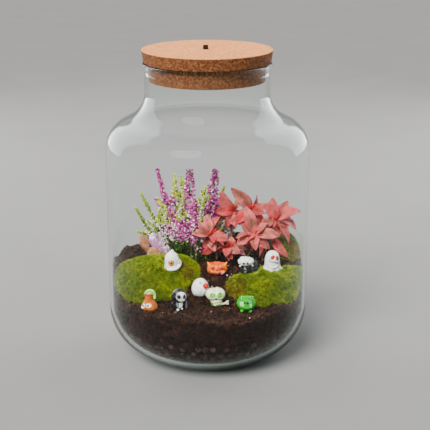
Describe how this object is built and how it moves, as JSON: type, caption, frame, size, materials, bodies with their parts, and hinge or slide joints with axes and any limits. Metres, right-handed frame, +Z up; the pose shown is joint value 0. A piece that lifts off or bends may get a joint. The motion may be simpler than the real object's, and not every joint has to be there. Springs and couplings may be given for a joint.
{
  "type": "glass plant terrarium",
  "caption": "Closed glass jar with a cork lid, planted with heather, a pink-leaved shrub and moss on sloping soil, with small painted figures.",
  "frame": {"origin": "centre of the jar's flat underside", "axes": "+Z up along the jar's axis; the figures face -Y, and the soil rises towards +Y; +X is to the right as seen from the front"},
  "size_m": [0.195, 0.195, 0.3035],
  "materials": {
    "glass": "clear, smooth, slightly green at its thick edges",
    "cork": "pressed cork, matte, dark and pale flecks",
    "black_plastic": "satin black",
    "fired_clay": "rough fired clay balls",
    "soil": "damp crumbly dark soil with pale fibres",
    "moss": "fine tufted moss",
    "pink_bloom": "matte pink heather bells",
    "lime_shoot": "matte lime heather leaves",
    "white_bloom": "matte white heather bells",
    "green_shoot": "matte dark green heather leaves",
    "pink_leaf": "satin pink leaves with tan green centres",
    "lilac_crystal": "cut lilac crystal",
    "tan_stone": "worn tan stone",
    "white_paint": "glossy white resin",
    "orange_paint": "glossy orange resin",
    "black_paint": "glossy black resin",
    "green_paint": "glossy green resin",
    "cream_paint": "glossy cream resin"
  },
  "bodies": {
    "root": {"glass_jar": "glass", "cork_lid": "cork", "lid_block": "black_plastic", "clay_pebbles": "fired_clay", "soil": "soil", "moss_left": "moss", "moss_right": "moss", "moss_rear": "moss", "crystal": "lilac_crystal", "stone_upper": "tan_stone", "stone_lower": "tan_stone", "heather_pink_left": "pink_bloom", "heather_pink_middle": "pink_bloom", "heather_pink_right": "pink_bloom", "heather_pink_low": "pink_bloom", "heather_pink_front": "pink_bloom", "heather_lime_left": "lime_shoot", "heather_lime_middle": "lime_shoot", "heather_lime_back": "lime_shoot", "heather_lime_right": "lime_shoot", "heather_lime_far": "lime_shoot", "heather_white_left": "white_bloom", "heather_white_low": "white_bloom", "heather_white_front": "white_bloom", "heather_white_far": "white_bloom", "heather_green_front": "green_shoot", "heather_green_middle": "green_shoot", "heather_green_right": "green_shoot", "shrub_shoot_left": "pink_leaf", "shrub_shoot_back": "pink_leaf", "shrub_shoot_middle": "pink_leaf", "shrub_shoot_right": "pink_leaf", "shrub_shoot_front": "pink_leaf", "shrub_shoot_low": "pink_leaf", "ghost_one_eye": "white_paint", "pumpkin_cat": "orange_paint", "cauldron_ghost": "black_paint", "ghost_grin": "white_paint", "potion_flask": "orange_paint", "reaper": "black_paint", "ghost_red_nose": "white_paint", "skull_figure": "cream_paint", "green_monster": "green_paint"}
  },
  "joints": []
}
